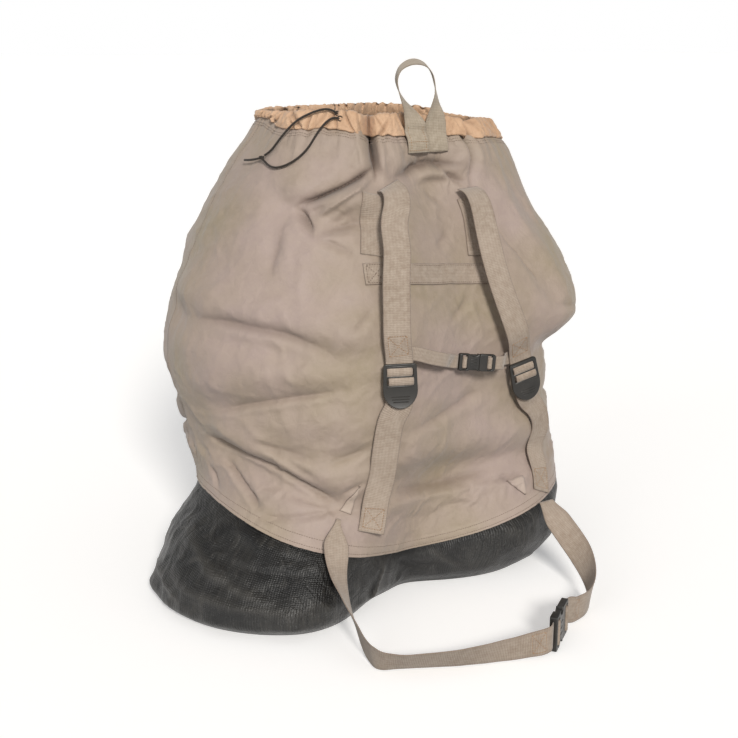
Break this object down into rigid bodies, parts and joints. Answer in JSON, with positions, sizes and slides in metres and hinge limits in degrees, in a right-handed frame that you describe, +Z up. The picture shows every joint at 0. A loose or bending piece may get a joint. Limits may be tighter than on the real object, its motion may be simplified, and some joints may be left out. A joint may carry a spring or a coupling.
{
  "type": "decoy bag",
  "caption": "Large drawstring backpack sack of coated cloth with a mesh bottom, webbing shoulder straps, sternum strap, waist belt and haul handle.",
  "frame": {"origin": "on the floor under the mesh bottom, midway between the shoulder straps", "axes": "+Z up, -Y towards the side with the straps, +X to the right as seen from that side"},
  "size_m": [0.7478, 0.7374, 0.7628],
  "materials": {
    "coated_cloth": "matt coated woven cloth",
    "collar_cloth": "gathered cloth, lighter and warmer than the sack",
    "webbing": "ribbed woven webbing",
    "mesh": "fine dark knitted mesh",
    "moulded_plastic": "satin moulded plastic",
    "cord": "round braided cord"
  },
  "bodies": {
    "root": {"sack_body": "coated_cloth", "belt_tab_left": "coated_cloth", "belt_tab_right": "coated_cloth", "mesh_bottom": "mesh", "collar": "collar_cloth", "haul_handle": "webbing", "upper_band": "webbing", "inner_strap_left": "webbing", "inner_strap_right": "webbing", "shoulder_strap_left": "webbing", "shoulder_strap_right": "webbing", "lower_strap_left": "webbing", "lower_strap_right": "webbing", "sternum_strap_left": "webbing", "sternum_strap_right": "webbing", "belt_left": "webbing", "belt_right": "webbing", "ladder_lock_left": "moulded_plastic", "ladder_lock_right": "moulded_plastic", "sternum_buckle_socket": "moulded_plastic", "sternum_buckle_plug": "moulded_plastic", "belt_buckle_socket": "moulded_plastic", "belt_buckle_plug": "moulded_plastic", "drawcord_upper": "cord", "drawcord_lower": "cord", "drawcord_tail": "cord", "drawcord_knot": "cord"}
  },
  "joints": []
}
